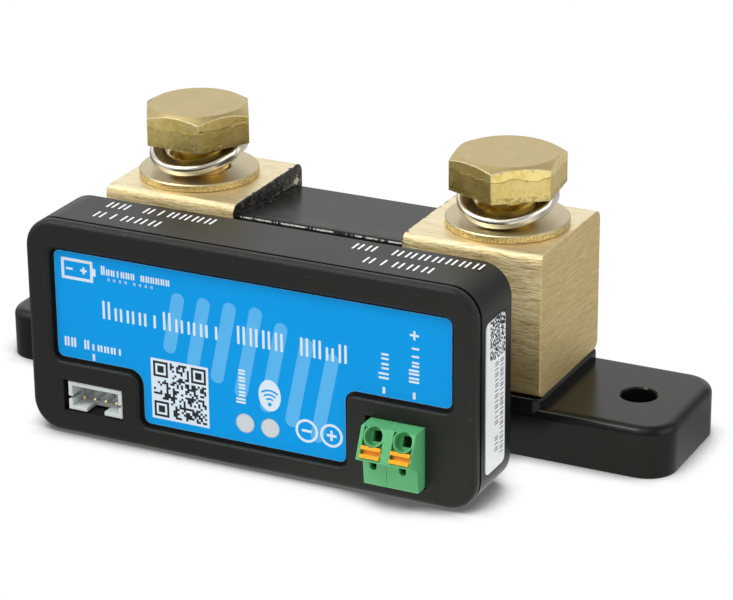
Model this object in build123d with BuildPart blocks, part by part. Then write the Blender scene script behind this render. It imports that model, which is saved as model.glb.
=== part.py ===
from build123d import *
import math
import os

# Battery monitor shunt, millimetres.
# +X runs along the shunt, -Y is the labelled front, +Z is up.
# z = 0 is the underside of the base, the origin lies midway between the two mounting holes.

# base
base_length = 120.7
base_depth = 24.6
ear_height = 8.4
ear_corner_r = 5.0
ear_edge_r = 1.5
pad_half_length = 39.25
pad_depth = 24.4
pad_height = 10.0
pad_corner_r = 1.8
pad_edge_r = 0.55
mount_spacing = 102.0
mount_hole_r = 2.9
mount_edge = 0.25
tongue_half_width = 31.0
tongue_floor = 1.2
tongue_top = 5.0
peg_r = 1.5
peg_x = 9.0
peg_z = 3.1

# blocks
block_size = 24.0
block_inner_x = 15.0
block_mid_x = block_inner_x + block_size / 2
block_top = pad_height + block_size
block_corner_r = 1.5
block_edge = 0.15
stud_x = 28.0
stud_bore_r = 4.98
stud_bore_depth = 20.0
stud_bore_mouth = 0.5

# block fixing screws, M4 from underneath
fix_y = 8.0
fix_r = 1.95
fix_hole_r = 2.0
fix_depth = 6.5
fix_clear_r = 2.2
fix_head_r = 3.6
fix_head_h = 3.0
fix_recess_r = 4.0
fix_recess_depth = 4.6

# resistor strips
strip_half_length = 16.5
strip_slot = 1.5
strip_thick = 2.0
strip_width = 19.4
strip_mid_y = 0.5
strip_heights = [15.0, 20.5, 26.0]
strip_gap = 0.03

# resistor cover
guard_half_length = 14.95
guard_front_y = -11.0
guard_back_y = 12.0
guard_front_z = 32.3
guard_back_z = 29.8
guard_wall = 1.2
guard_slots = 5
guard_slot_pitch = 5.0
guard_slot_width = 2.0

# monitor housing
case_mid_x = -0.6
case_width = 78.6
case_bottom = 0.2
case_height = 36.2
case_mid_z = case_bottom + case_height / 2
case_corner_r = 5.0
case_back_y = -22.3
seam_y = -33.95
seam_gap = 0.35
case_front_y = -35.75
case_wall = 1.8
case_back_edge_r = 0.6
case_front_edge_r = 1.0
shell_seam_chamfer = 0.05
cover_seam_chamfer = 0.3
plug_depth = 1.2
plug_gap = 0.1

# posts that carry the cover screws
post_dx = 35.1
post_dz = 13.0
post_r = 2.1
post_pilot_r = 1.0
cover_screw_r = 0.98
cover_screw_clear_r = 1.3
cover_screw_head_r = 2.0
cover_screw_head_h = 1.2

# board supports
boss_r = 1.9
boss_points = [(-30.0, 27.5), (30.0, 27.5), (-12.0, 6.5), (12.0, 6.5)]

# label and its recess
label_left = -35.1
label_right = 34.3
label_top = 31.3
label_step_left_x = -19.45
label_step_left_z = 13.1
label_bottom = 4.25
label_step_right_x = 16.35
label_step_right_z = 16.65
label_outer_r = 1.1
label_inner_left_r = 2.5
label_inner_right_r = 2.0
label_thick = 0.2
label_front_y = -34.75
recess_floor_y = label_front_y + label_thick
recess_margin = 0.55
recess_rim_r = 0.6
window_r = 1.62
window_x = [-1.27, 3.17]
window_z = 7.55

# side label
side_label_thick = 0.15
side_label_y0 = -32.3
side_label_y1 = -25.3
side_label_z0 = 5.3
side_label_z1 = 30.2
side_label_r = 1.0

# circuit board
board_front_y = -29.45
board_thick = 1.6
board_back_y = board_front_y + board_thick
board_width = 73.6
board_height = 31.6
board_corner_r = 2.4

# sense spacers and their screws
sense_x = 20.0
sense_z = 22.0
spacer_outer_r = 5.0
spacer_neck_r = 3.5
spacer_bore_r = 2.2
spacer_wall_hole_r = 3.7
sense_screw_r = 1.95
sense_hole_r = 2.0
sense_hole_depth = 7.5
sense_screw_reach = 7.0
sense_head_r = 3.6
sense_head_h = 2.4
block_front_y = -block_size / 2

# data header, 2 mm pitch
header_left = -33.1
header_right = -23.2
header_z0 = 4.4
header_z1 = 9.2
header_front_y = -35.5
header_wall = 0.65
header_floor_y = -31.4
header_pitch = 2.0
header_pins_n = 4
header_first_x = -31.15
header_pin_z = 6.0
header_pin_half = 0.25
header_pin_front_y = -34.1
header_opening_x0 = -33.9
header_opening_x1 = -22.95
header_opening_z0 = 4.15
header_opening_z1 = 9.5

# spring terminal, two poles
term_left = 21.1
term_right = 30.2
term_mid_x = (term_left + term_right) / 2
term_top = 13.2
term_bottom = 3.2
term_shoulder_y = -38.8
term_nose_y = -41.0
term_nose_z = 8.4
term_under_y = -38.45
term_under_z = 7.15
term_foot_y = -38.1
term_opening_x0 = 20.2
term_opening_x1 = 30.5
term_opening_z0 = 2.95
term_opening_z1 = 13.5
pole_x = [23.45, 28.4]
channel_w = 3.42
channel_depth = 0.65
channel_lip = 0.35
funnel_rim = 0.2
funnel_shift = -0.05
funnel_r = 1.5
funnel_down = 1.3
funnel_depth = 1.5
wire_half_w = 0.75
wire_half_h = 0.85
wire_depth = 4.4
face_len = math.hypot(term_nose_y - term_shoulder_y, term_nose_z - term_top)
face_in_y = (term_top - term_nose_z) / face_len
face_in_z = -(term_shoulder_y - term_nose_y) / face_len
lever_w = 3.25
lever_h = 1.9
lever_down = 3.9
lever_out = 0.35
lever_in = 3.4
lever_gap = 0.08
lever_travel = 1.2
lever_shift = -0.1
groove_h = 0.7
groove_depth = 0.75
groove_step_w = 0.6
groove_step_depth = 1.1
notch_r = 0.6
notch_shift = -0.65
notch_drop = 0.7
notch_depth = 1.4
pole_seam_x = 25.0
pole_seam_w = 0.07
pole_seam_depth = 0.1
chamber_y0 = -37.3
chamber_y1 = -30.6
chamber_z0 = 4.6
chamber_z1 = 11.9
chamber_half_w = 1.45
spring_w = 2.6
spring_t = 0.3

# M10 bolts and washers
head_af = 16.7
head_h = 5.75
head_top_r = 7.7
left_chamfer_deg = 30.0
right_chamfer_deg = 23.0
bolt_core_r = 4.15
bolt_thread_r = 4.92
bolt_pitch = 1.5
bolt_length = 20.0
flat_washer_r = 10.0
flat_washer_hole_r = 5.25
flat_washer_t = 1.3
spring_washer_r = 8.15
spring_washer_hole_r = 5.25
spring_washer_t = 2.1
spring_edge_r = 0.75
spring_sweep_deg = 344.0
spring_start_deg = 44.0
spring_rise = 2.0
spring_steps = 24
left_head_z = 40.6
right_head_z = 40.2
left_head_turn = -0.6
right_head_turn = 37.3
spring_clear = 0.13
spring_ease = 0.4
left_spring_z = 36.53
left_spring_tilt = 1.94
left_spring_high_deg = 94.0
right_spring_z = 36.25
right_spring_tilt = 2.06
right_spring_high_deg = 102.0

os.makedirs("parts", exist_ok=True)

front_plane = Plane(origin=(0, 0, 0), x_dir=(1, 0, 0), z_dir=(0, -1, 0))
side_plane = Plane(origin=(0, 0, 0), x_dir=(0, 1, 0), z_dir=(1, 0, 0))


def front_at(y):
    """Plane facing the front whose local x, y are the part's x, z."""
    return Plane(origin=(0, y, 0), x_dir=(1, 0, 0), z_dir=(0, -1, 0))


def side_at(x):
    """Plane facing +X whose local x, y are the part's y, z."""
    return Plane(origin=(x, 0, 0), x_dir=(0, 1, 0), z_dir=(1, 0, 0))


def save(build, name):
    build.part.label = name
    export_step(build.part, "parts/" + name + ".step")


# ---------------------------------------------------------------- base
with BuildPart() as base:
    with BuildSketch(Plane.XY) as ear_outline:
        RectangleRounded(base_length, base_depth, ear_corner_r)
    extrude(amount=ear_height)
    fillet(base.faces().sort_by(Axis.Z)[-1].edges(), ear_edge_r)
    with BuildSketch(Plane.XY) as pad_outline:
        RectangleRounded(2 * pad_half_length, pad_depth, pad_corner_r)
    extrude(amount=pad_height)
    fillet(base.faces().sort_by(Axis.Z)[-1].edges(), pad_edge_r)
    with BuildSketch(Plane.XY.offset(tongue_floor)) as tongue:
        tongue_depth = -base_depth / 2 - (case_back_y + plug_gap)
        with Locations((0, case_back_y + plug_gap + tongue_depth / 2)):
            Rectangle(2 * tongue_half_width, tongue_depth)
    extrude(amount=tongue_top - tongue_floor)
    with BuildSketch(Plane.XY.offset(tongue_top)) as ribs:
        with Locations((0, -base_depth / 2 - 2.5)):
            with GridLocations(2 * tongue_half_width / 4 - 1.0, 1, 5, 1):
                Rectangle(2.0, 5.0)
    extrude(amount=2.5)
    with BuildSketch(front_at(case_back_y + plug_gap)) as pegs:
        with Locations((-peg_x, peg_z), (peg_x, peg_z)):
            Circle(peg_r)
    extrude(amount=case_wall)
    with BuildSketch(Plane.XY) as mount_holes:
        with GridLocations(mount_spacing, 1, 2, 1):
            Circle(mount_hole_r)
    extrude(amount=ear_height, mode=Mode.SUBTRACT)
    rim = base.edges().filter_by(GeomType.CIRCLE).filter_by(
        lambda e: abs(e.radius - mount_hole_r) < 0.01 and e.center().Z > ear_height - 0.1
    )
    chamfer(rim, mount_edge)
    with BuildSketch(Plane.XY) as fix_holes:
        with GridLocations(2 * block_mid_x, 2 * fix_y, 2, 2):
            Circle(fix_clear_r)
    extrude(amount=pad_height, mode=Mode.SUBTRACT)
    with BuildSketch(Plane.XY) as fix_recesses:
        with GridLocations(2 * block_mid_x, 2 * fix_y, 2, 2):
            Circle(fix_recess_r)
    extrude(amount=fix_recess_depth, mode=Mode.SUBTRACT)
save(base, "base")


# ---------------------------------------------------------------- blocks
def make_block(sign):
    """Brass terminal block, sign -1 for the left one and +1 for the right one."""
    with BuildPart() as block:
        with BuildSketch(side_at(sign * block_mid_x)) as bar:
            with Locations((0, pad_height + block_size / 2)):
                RectangleRounded(block_size, block_size, block_corner_r)
        extrude(amount=block_size / 2, both=True)
        chamfer(block.faces().filter_by(Axis.X).edges(), block_edge)
        with BuildSketch(Plane.XY.offset(block_top)) as bore:
            with Locations((sign * stud_x, 0)):
                Circle(stud_bore_r)
        extrude(amount=-stud_bore_depth, mode=Mode.SUBTRACT)
        mouth = block.edges().filter_by(GeomType.CIRCLE).sort_by(Axis.Z)[-1]
        chamfer(mouth, stud_bore_mouth)
        with BuildSketch(Plane.XY.offset(pad_height)) as fixings:
            with Locations((sign * block_mid_x, -fix_y), (sign * block_mid_x, fix_y)):
                Circle(fix_hole_r)
        extrude(amount=fix_depth, mode=Mode.SUBTRACT)
        with BuildSketch(front_at(block_front_y)) as sense:
            with Locations((sign * sense_x, sense_z)):
                Circle(sense_hole_r)
        extrude(amount=-sense_hole_depth, mode=Mode.SUBTRACT)
        with BuildSketch(side_at(sign * (block_inner_x + strip_slot))) as slots:
            for height in strip_heights:
                with Locations((strip_mid_y, height)):
                    Rectangle(strip_width + 2 * strip_gap, strip_thick + 2 * strip_gap)
        extrude(amount=-sign * strip_slot, mode=Mode.SUBTRACT)
    return block


left_block = make_block(-1)
save(left_block, "left_block")
right_block = make_block(1)
save(right_block, "right_block")


# ---------------------------------------------------------------- resistor strips
def make_strip(height):
    with BuildPart() as strip:
        with BuildSketch(side_at(-strip_half_length + strip_gap)) as section:
            with Locations((strip_mid_y, height)):
                Rectangle(strip_width, strip_thick)
        extrude(amount=2 * (strip_half_length - strip_gap))
    return strip


save(make_strip(strip_heights[0]), "lower_strip")
save(make_strip(strip_heights[1]), "middle_strip")
save(make_strip(strip_heights[2]), "upper_strip")

with BuildPart() as resistor_cover:
    with BuildSketch(side_at(-guard_half_length)) as guard_outer:
        with BuildLine():
            Polyline(
                (guard_front_y, pad_height),
                (guard_front_y, guard_front_z),
                (guard_back_y, guard_back_z),
                (guard_back_y, pad_height),
                close=True,
            )
        make_face()
    extrude(amount=2 * guard_half_length)
    fillet(resistor_cover.edges().filter_by(Axis.X).group_by(Axis.Z)[-1], 0.6)
    fillet(resistor_cover.edges().filter_by(Axis.X).sort_by(Axis.Y)[-2:].sort_by(Axis.Z)[-1], 0.6)
    with BuildSketch(side_at(-guard_half_length)) as guard_inner:
        with BuildLine():
            Polyline(
                (guard_front_y + guard_wall, pad_height),
                (guard_front_y + guard_wall, guard_front_z - guard_wall),
                (guard_back_y - guard_wall, guard_back_z - guard_wall),
                (guard_back_y - guard_wall, pad_height),
                close=True,
            )
        make_face()
    extrude(amount=2 * guard_half_length, mode=Mode.SUBTRACT)
    with BuildSketch(front_at(guard_front_y - 1.0)) as vents:
        with Locations((0, pad_height + 9.0)):
            with GridLocations(guard_slot_pitch, 1, guard_slots, 1):
                SlotOverall(12.0, guard_slot_width, rotation=90)
    extrude(amount=-30.0, mode=Mode.SUBTRACT)
save(resistor_cover, "resistor_cover")


# ---------------------------------------------------------------- block fixing screws
def make_fix_screws(sign):
    with BuildPart() as screws:
        with BuildSketch(Plane.XY.offset(fix_recess_depth)) as shanks:
            with Locations((sign * block_mid_x, -fix_y), (sign * block_mid_x, fix_y)):
                Circle(fix_r)
        extrude(amount=pad_height - fix_recess_depth + fix_depth - 0.8)
        with BuildSketch(Plane.XY.offset(fix_recess_depth)) as heads:
            with Locations((sign * block_mid_x, -fix_y), (sign * block_mid_x, fix_y)):
                Circle(fix_head_r)
        extrude(amount=-fix_head_h)
        chamfer(screws.faces().sort_by(Axis.Z)[0].edges(), 0.5)
        chamfer(screws.faces().sort_by(Axis.Z)[0].edges(), 0.3)
        with BuildSketch(Plane.XY.offset(fix_recess_depth - fix_head_h)) as drive:
            with Locations((sign * block_mid_x, -fix_y), (sign * block_mid_x, fix_y)):
                RegularPolygon(1.45, 6)
        extrude(amount=1.8, mode=Mode.SUBTRACT)
    return screws


save(make_fix_screws(-1), "left_block_screws")
save(make_fix_screws(1), "right_block_screws")


# ---------------------------------------------------------------- sense spacers and screws
def make_spacer(sign):
    with BuildPart() as spacer:
        with BuildSketch(front_at(block_front_y)) as shoulder:
            with Locations((sign * sense_x, sense_z)):
                Circle(spacer_outer_r)
        extrude(amount=block_front_y - case_back_y)
        chamfer(spacer.edges().filter_by(GeomType.CIRCLE), 0.4)
        with BuildSketch(front_at(case_back_y)) as neck:
            with Locations((sign * sense_x, sense_z)):
                Circle(spacer_neck_r)
        extrude(amount=case_back_y - board_back_y)
        with BuildSketch(front_at(block_front_y)) as through:
            with Locations((sign * sense_x, sense_z)):
                Circle(spacer_bore_r)
        extrude(amount=block_front_y - board_back_y, mode=Mode.SUBTRACT)
    return spacer


save(make_spacer(-1), "left_sense_spacer")
save(make_spacer(1), "right_sense_spacer")


def make_sense_screw(sign):
    with BuildPart() as screw:
        with BuildSketch(front_at(board_front_y)) as head:
            with Locations((sign * sense_x, sense_z)):
                Circle(sense_head_r)
        extrude(amount=sense_head_h)
        fillet(screw.faces().sort_by(Axis.Y)[0].edges(), 0.9)
        with BuildSketch(front_at(board_front_y - sense_head_h)) as cross:
            with Locations((sign * sense_x, sense_z)):
                Rectangle(3.4, 0.8)
                Rectangle(0.8, 3.4)
        extrude(amount=-1.3, mode=Mode.SUBTRACT)
        with BuildSketch(front_at(board_front_y)) as shank:
            with Locations((sign * sense_x, sense_z)):
                Circle(sense_screw_r)
        extrude(amount=board_front_y - block_front_y - sense_screw_reach)
    return screw


save(make_sense_screw(-1), "left_sense_screw")
save(make_sense_screw(1), "right_sense_screw")

# ---------------------------------------------------------------- rear shell
with BuildPart() as rear_shell:
    with BuildSketch(front_at(case_back_y)) as shell_outline:
        with Locations((case_mid_x, case_mid_z)):
            RectangleRounded(case_width, case_height, case_corner_r)
    extrude(amount=case_back_y - seam_y - seam_gap)
    fillet(rear_shell.faces().sort_by(Axis.Y)[-1].edges(), case_back_edge_r)
    chamfer(rear_shell.faces().sort_by(Axis.Y)[0].edges(), shell_seam_chamfer)
    with BuildSketch(front_at(seam_y)) as cavity:
        with Locations((case_mid_x, case_mid_z)):
            RectangleRounded(
                case_width - 2 * case_wall, case_height - 2 * case_wall, case_corner_r - case_wall
            )
    extrude(amount=seam_y - case_back_y + case_wall, mode=Mode.SUBTRACT)
    with BuildSketch(front_at(case_back_y - case_wall)) as bosses:
        with Locations(*boss_points):
            Circle(boss_r)
    extrude(amount=case_back_y - case_wall - board_back_y)
    with BuildSketch(front_at(case_back_y)) as shell_holes:
        with Locations((-sense_x, sense_z), (sense_x, sense_z)):
            Circle(spacer_wall_hole_r)
        with Locations((-peg_x, peg_z), (peg_x, peg_z)):
            Circle(peg_r + plug_gap)
    extrude(amount=case_wall, mode=Mode.SUBTRACT)
    with BuildSketch(front_at(case_back_y)) as shell_screw_holes:
        with Locations((case_mid_x, case_mid_z)):
            with GridLocations(2 * post_dx, 2 * post_dz, 2, 2):
                Circle(cover_screw_clear_r)
    extrude(amount=case_wall, mode=Mode.SUBTRACT)
save(rear_shell, "rear_shell")

# ---------------------------------------------------------------- label outline
def near(points, x, z):
    """The sketch corner nearest to x, z."""
    return points.sort_by(lambda v: (v.X - x) ** 2 + (v.Y - z) ** 2)[0]


def stepped_points(margin):
    """Corners of the stepped label outline grown by a margin, clockwise from the top left."""
    return [
        (label_left - margin, label_top + margin),
        (label_right + margin, label_top + margin),
        (label_right + margin, label_step_right_z - margin),
        (label_step_right_x + margin, label_step_right_z - margin),
        (label_step_right_x + margin, label_bottom - margin),
        (label_step_left_x - margin, label_bottom - margin),
        (label_step_left_x - margin, label_step_left_z - margin),
        (label_left - margin, label_step_left_z - margin),
    ]


def stepped_radii(margin):
    """Corner radii in the same order as the stepped outline's corners."""
    outer = label_outer_r + margin
    inner_right = label_inner_right_r - margin
    inner_left = label_inner_left_r - margin
    return [outer, outer, outer, inner_right, outer, outer, inner_left, outer]


# ---------------------------------------------------------------- front cover
with BuildPart() as front_cover:
    with BuildSketch(front_at(seam_y)) as cover_outline:
        with Locations((case_mid_x, case_mid_z)):
            RectangleRounded(case_width, case_height, case_corner_r)
    extrude(amount=seam_y - case_front_y)
    fillet(front_cover.faces().sort_by(Axis.Y)[0].edges(), case_front_edge_r)
    chamfer(front_cover.faces().sort_by(Axis.Y)[-1].edges(), cover_seam_chamfer)
    with BuildSketch(front_at(seam_y)) as plug_outline:
        with Locations((case_mid_x, case_mid_z)):
            RectangleRounded(
                case_width - 2 * case_wall - 2 * plug_gap,
                case_height - 2 * case_wall - 2 * plug_gap,
                case_corner_r - case_wall - plug_gap,
            )
    extrude(amount=-plug_depth)
    with BuildSketch(front_at(case_front_y)) as recess:
        with BuildLine():
            Polyline(*stepped_points(recess_margin), close=True)
        make_face()
        for point, radius in zip(stepped_points(recess_margin), stepped_radii(recess_margin)):
            fillet(near(recess.vertices(), point[0], point[1]), radius)
    extrude(amount=-(recess_floor_y - case_front_y), mode=Mode.SUBTRACT)
    rim_edges = front_cover.edges().filter_by(
        lambda e: abs(e.center().Y - case_front_y) < 0.01
        and label_left - 1.5 < e.center().X < label_right + 1.5
        and label_bottom - 1.5 < e.center().Z < label_top + 1.5
    )
    fillet(rim_edges, recess_rim_r)
    with BuildSketch(front_at(case_front_y)) as cover_openings:
        with Locations(
            (
                (header_opening_x0 + header_opening_x1) / 2,
                (header_opening_z0 + header_opening_z1) / 2,
            )
        ):
            Rectangle(
                header_opening_x1 - header_opening_x0, header_opening_z1 - header_opening_z0
            )
        with Locations(
            ((term_opening_x0 + term_opening_x1) / 2, (term_opening_z0 + term_opening_z1) / 2)
        ):
            Rectangle(term_opening_x1 - term_opening_x0, term_opening_z1 - term_opening_z0)
    extrude(amount=-(seam_y + plug_depth - case_front_y), mode=Mode.SUBTRACT)
    with BuildSketch(front_at(seam_y + plug_depth)) as window_holes:
        with Locations(*[(x, window_z) for x in window_x]):
            Circle(window_r)
    extrude(amount=seam_y + plug_depth - recess_floor_y, mode=Mode.SUBTRACT)
    with BuildSketch(front_at(case_back_y - case_wall)) as posts:
        with Locations((case_mid_x, case_mid_z)):
            with GridLocations(2 * post_dx, 2 * post_dz, 2, 2):
                Circle(post_r)
    extrude(amount=case_back_y - case_wall - seam_y - plug_depth)
    with BuildSketch(front_at(case_back_y - case_wall)) as pilots:
        with Locations((case_mid_x, case_mid_z)):
            with GridLocations(2 * post_dx, 2 * post_dz, 2, 2):
                Circle(post_pilot_r)
    extrude(amount=7.0, mode=Mode.SUBTRACT)
save(front_cover, "front_cover")

with BuildPart() as cover_screws:
    with BuildSketch(front_at(case_back_y)) as cover_shanks:
        with Locations((case_mid_x, case_mid_z)):
            with GridLocations(2 * post_dx, 2 * post_dz, 2, 2):
                Circle(cover_screw_r)
    extrude(amount=case_wall + 6.0)
    with BuildSketch(front_at(case_back_y)) as cover_heads:
        with Locations((case_mid_x, case_mid_z)):
            with GridLocations(2 * post_dx, 2 * post_dz, 2, 2):
                Circle(cover_screw_head_r)
    extrude(amount=-cover_screw_head_h)
    fillet(cover_screws.faces().filter_by(Axis.Y).group_by(Axis.Y)[-1].edges(), 0.5)
    with BuildSketch(front_at(case_back_y + cover_screw_head_h)) as cover_cross:
        with Locations((case_mid_x, case_mid_z)):
            with GridLocations(2 * post_dx, 2 * post_dz, 2, 2):
                Rectangle(2.0, 0.5)
                Rectangle(0.5, 2.0)
    extrude(amount=0.7, mode=Mode.SUBTRACT)
save(cover_screws, "cover_screws")

# ---------------------------------------------------------------- labels
with BuildPart() as front_label:
    with BuildSketch(front_at(recess_floor_y)) as label_shape:
        with BuildLine():
            Polyline(*stepped_points(0), close=True)
        make_face()
        for point, radius in zip(stepped_points(0), stepped_radii(0)):
            fillet(near(label_shape.vertices(), point[0], point[1]), radius)
    extrude(amount=label_thick)
    with BuildSketch(front_at(recess_floor_y)) as label_windows:
        with Locations(*[(x, window_z) for x in window_x]):
            Circle(window_r)
    extrude(amount=label_thick, mode=Mode.SUBTRACT)
save(front_label, "front_label")

with BuildPart() as side_label:
    with BuildSketch(side_at(case_mid_x + case_width / 2)) as side_shape:
        with Locations(((side_label_y0 + side_label_y1) / 2, (side_label_z0 + side_label_z1) / 2)):
            RectangleRounded(
                side_label_y1 - side_label_y0, side_label_z1 - side_label_z0, side_label_r
            )
    extrude(amount=side_label_thick)
save(side_label, "side_label")

# ---------------------------------------------------------------- circuit board
with BuildPart() as circuit_board:
    with BuildSketch(front_at(board_back_y)) as board_outline:
        with Locations((case_mid_x, case_mid_z)):
            RectangleRounded(board_width, board_height, board_corner_r)
            with GridLocations(2 * post_dx, 2 * post_dz, 2, 2):
                Circle(post_r + 0.35, mode=Mode.SUBTRACT)
        with Locations((-sense_x, sense_z), (sense_x, sense_z)):
            Circle(spacer_bore_r, mode=Mode.SUBTRACT)
        for pin in range(header_pins_n):
            with Locations((header_first_x + pin * header_pitch, header_pin_z)):
                Circle(0.45, mode=Mode.SUBTRACT)
        for x in pole_x:
            with Locations((x, 5.4), (x, 10.4)):
                Circle(0.65, mode=Mode.SUBTRACT)
    extrude(amount=board_thick)
save(circuit_board, "circuit_board")

# ---------------------------------------------------------------- data header
with BuildPart() as header_body:
    with BuildSketch(front_at(board_front_y)) as header_outline:
        with Locations(((header_left + header_right) / 2, (header_z0 + header_z1) / 2)):
            Rectangle(header_right - header_left, header_z1 - header_z0)
    extrude(amount=board_front_y - header_front_y)
    with BuildSketch(front_at(header_front_y)) as header_cavity:
        with Locations(((header_left + header_right) / 2, (header_z0 + header_z1) / 2)):
            Rectangle(
                header_right - header_left - 2 * header_wall, header_z1 - header_z0 - 2 * header_wall
            )
    extrude(amount=-(header_floor_y - header_front_y), mode=Mode.SUBTRACT)
    with BuildSketch(front_at(header_front_y)) as header_notches:
        with Locations(((header_left + header_right) / 2, header_z0)):
            Rectangle(3.3, 2 * header_wall)
        with Locations((header_left, header_pin_z + 0.4), (header_right, header_pin_z + 0.4)):
            Rectangle(2.2, 0.6)
    extrude(amount=-3.0, mode=Mode.SUBTRACT)
    with BuildSketch(front_at(header_floor_y)) as header_pin_holes:
        for pin in range(header_pins_n):
            with Locations((header_first_x + pin * header_pitch, header_pin_z)):
                Rectangle(2 * header_pin_half + 0.04, 2 * header_pin_half + 0.04)
    extrude(amount=-(board_front_y - header_floor_y), mode=Mode.SUBTRACT)
save(header_body, "header_body")

with BuildPart() as header_pins:
    with BuildSketch(front_at(board_back_y + 1.2)) as pin_sections:
        for pin in range(header_pins_n):
            with Locations((header_first_x + pin * header_pitch, header_pin_z)):
                Rectangle(2 * header_pin_half, 2 * header_pin_half)
    extrude(amount=board_back_y + 1.2 - header_pin_front_y)
    chamfer(header_pins.faces().filter_by(Axis.Y).group_by(Axis.Y)[0].edges(), 0.12)
save(header_pins, "header_pins")

# ---------------------------------------------------------------- spring terminal
face_plane = Plane(
    origin=(0, term_shoulder_y, term_top), x_dir=(1, 0, 0), z_dir=(0, -face_in_y, -face_in_z)
)

with BuildPart() as terminal_body:
    with BuildSketch(side_at(term_left)) as term_section:
        with BuildLine():
            Polyline(
                (board_front_y, term_top),
                (term_shoulder_y, term_top),
                (term_nose_y, term_nose_z),
                (term_under_y, term_under_z),
                (term_foot_y, term_bottom),
                (board_front_y, term_bottom),
                close=True,
            )
        make_face()
    extrude(amount=term_right - term_left)
    chamfer(terminal_body.edges().filter_by(Axis.X), 0.12)
    with BuildSketch(face_plane) as channels:
        for x in pole_x:
            with Locations((x + lever_shift, -(face_len - channel_lip) / 2)):
                Rectangle(channel_w, face_len - channel_lip)
            with Locations((x + funnel_shift, -funnel_down)):
                Circle(funnel_r + funnel_rim, mode=Mode.SUBTRACT)
            with Locations((x + channel_w / 4, -funnel_down / 2)):
                Rectangle(channel_w / 2, funnel_down, mode=Mode.SUBTRACT)
    extrude(amount=-channel_depth, mode=Mode.SUBTRACT)
    with BuildSketch(face_plane) as funnels:
        with Locations(*[(x + funnel_shift, -funnel_down) for x in pole_x]):
            Circle(funnel_r)
    extrude(amount=-funnel_depth, mode=Mode.SUBTRACT)
    with BuildSketch(face_plane) as wires:
        with Locations(*[(x, -funnel_down + 0.1) for x in pole_x]):
            Rectangle(2 * wire_half_w, 2 * wire_half_h)
    extrude(amount=-wire_depth, mode=Mode.SUBTRACT)
    with BuildSketch(face_plane) as lever_slots:
        for x in pole_x:
            with Locations((x + lever_shift, -lever_down)):
                Rectangle(lever_w + 2 * lever_gap, lever_h + 2 * lever_gap)
            with Locations((x + funnel_shift, -funnel_down)):
                Circle(funnel_r + funnel_rim, mode=Mode.SUBTRACT)
    extrude(amount=-(lever_in + lever_travel + 0.3), mode=Mode.SUBTRACT)
    for x in pole_x:
        with BuildSketch(side_at(x - chamber_half_w)) as chamber:
            with BuildLine():
                Polyline(
                    (chamber_y0, chamber_z0),
                    (chamber_y0, chamber_z1),
                    (chamber_y1, chamber_z1),
                    (chamber_y1, chamber_z0),
                    close=True,
                )
            make_face()
        extrude(amount=2 * chamber_half_w, mode=Mode.SUBTRACT)
    with BuildSketch(front_at(board_front_y)) as term_pin_holes:
        for x in pole_x:
            with Locations((x, 5.4), (x, 10.4)):
                Circle(0.6)
    extrude(amount=board_front_y - chamber_y1, mode=Mode.SUBTRACT)
    with BuildSketch(front_at(term_foot_y - 0.5)) as test_notches:
        for x in pole_x:
            with Locations((x + notch_shift, term_under_z - notch_drop)):
                Circle(notch_r)
            with Locations((x + notch_shift, term_under_z - notch_drop / 2)):
                Rectangle(2 * notch_r, notch_drop)
    extrude(amount=-notch_depth, mode=Mode.SUBTRACT)
    with BuildSketch(front_at(term_foot_y - 0.5)) as foot_seam:
        with Locations((pole_seam_x, (term_bottom + term_under_z) / 2 - 0.3)):
            Rectangle(pole_seam_w, term_under_z - term_bottom - 0.2)
    extrude(amount=-0.5 - pole_seam_depth, mode=Mode.SUBTRACT)
    with BuildSketch(Plane.XY.offset(term_top)) as top_seam:
        with Locations((pole_seam_x, (term_shoulder_y + board_front_y) / 2 - 0.1)):
            Rectangle(pole_seam_w, board_front_y - term_shoulder_y)
    extrude(amount=-pole_seam_depth, mode=Mode.SUBTRACT)
save(terminal_body, "terminal_body")


def make_lever(x):
    """Push lever with two ridges and a screwdriver groove between them."""
    with BuildPart() as lever:
        with BuildSketch(face_plane.offset(lever_out)) as lever_face:
            with Locations((x + lever_shift, -lever_down)):
                Rectangle(lever_w, lever_h)
            with Locations((x + funnel_shift, -funnel_down)):
                Circle(funnel_r + funnel_rim + lever_gap, mode=Mode.SUBTRACT)
        extrude(amount=-(lever_in + lever_out))
        with BuildSketch(face_plane.offset(lever_out)) as groove:
            with Locations((x + lever_shift, -lever_down)):
                Rectangle(lever_w, groove_h)
        extrude(amount=-groove_depth, mode=Mode.SUBTRACT)
        with BuildSketch(face_plane.offset(lever_out)) as groove_step:
            with Locations((x + lever_shift - (lever_w - groove_step_w) / 2, -lever_down)):
                Rectangle(groove_step_w, groove_h)
        extrude(amount=-groove_step_depth, mode=Mode.SUBTRACT)
    return lever


save(make_lever(pole_x[0]), "aux_lever")
save(make_lever(pole_x[1]), "battery_lever")

lever_mid_y = term_shoulder_y + (term_nose_y - term_shoulder_y) * lever_down / face_len
lever_mid_z = term_top + (term_nose_z - term_top) * lever_down / face_len
tip_y = lever_mid_y + face_in_y * lever_in
tip_z = lever_mid_z + face_in_z * lever_in
slope_y = (term_shoulder_y - term_nose_y) / face_len
slope_z = (term_top - term_nose_z) / face_len
pad_y = face_in_y * (spring_t / 2 + 0.05)
pad_z = face_in_z * (spring_t / 2 + 0.05)


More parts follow.
